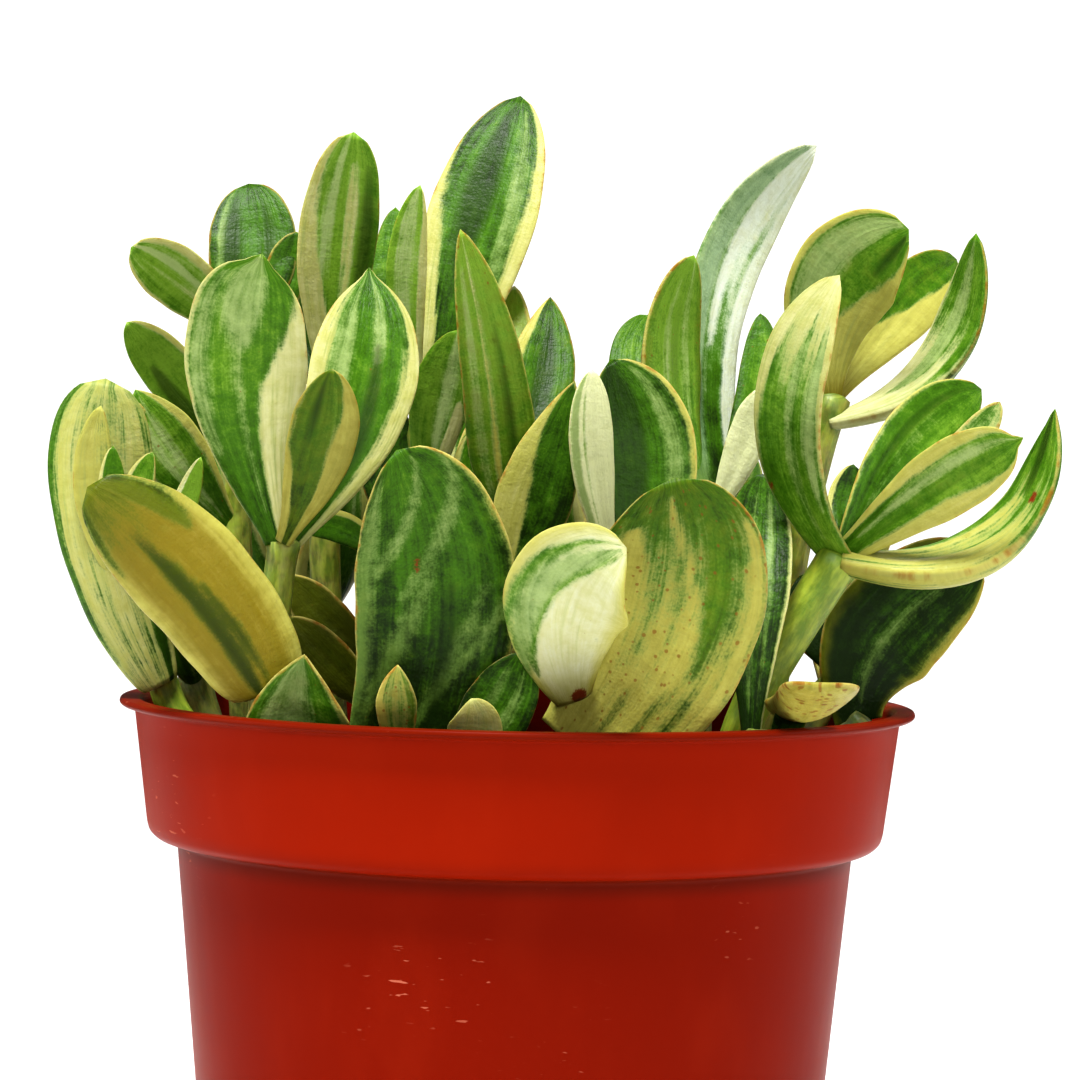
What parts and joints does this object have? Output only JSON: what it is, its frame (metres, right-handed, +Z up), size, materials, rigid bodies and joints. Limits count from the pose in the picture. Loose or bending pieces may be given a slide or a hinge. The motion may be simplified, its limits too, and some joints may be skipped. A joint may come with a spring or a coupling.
{
  "type": "potted variegated jade plant",
  "caption": "A jade plant with fleshy cream-edged green leaves on short stems, standing in the soil of a round orange plastic nursery pot",
  "frame": {"origin": "on the resting face of the pot, at the pot's axis", "axes": "+Z up along the pot's axis, -Y towards the viewer of the picture, +X to the viewer's right"},
  "size_m": [0.128, 0.1252, 0.1707],
  "materials": {
    "pot_plastic": "semi-gloss moulded plastic, orange red, with light scuffs",
    "soil": "damp dark potting mix with pale grit",
    "plant": "smooth waxy leaf, green with cream margins and stripes"
  },
  "bodies": {
    "root": {"pot": "pot_plastic", "soil": "soil", "shoot_right_fan": "plant", "shoot_left_trio": "plant", "shoot_left_rim": "plant", "shoot_far_left": "plant", "shoot_left_back": "plant", "shoot_left_tall": "plant", "shoot_centre_tall": "plant", "shoot_centre_front": "plant", "shoot_centre_mid": "plant", "shoot_front_pair": "plant", "shoot_centre_pair": "plant", "shoot_right_tall": "plant", "shoot_right_upper": "plant", "shoot_right_low": "plant", "shoot_right_rim": "plant", "shoot_inner_left": "plant", "shoot_back_1": "plant", "shoot_back_2": "plant", "shoot_back_3": "plant", "shoot_back_4": "plant", "shoot_back_5": "plant", "shoot_back_6": "plant", "shoot_back_7": "plant", "shoot_back_8": "plant"}
  },
  "joints": []
}
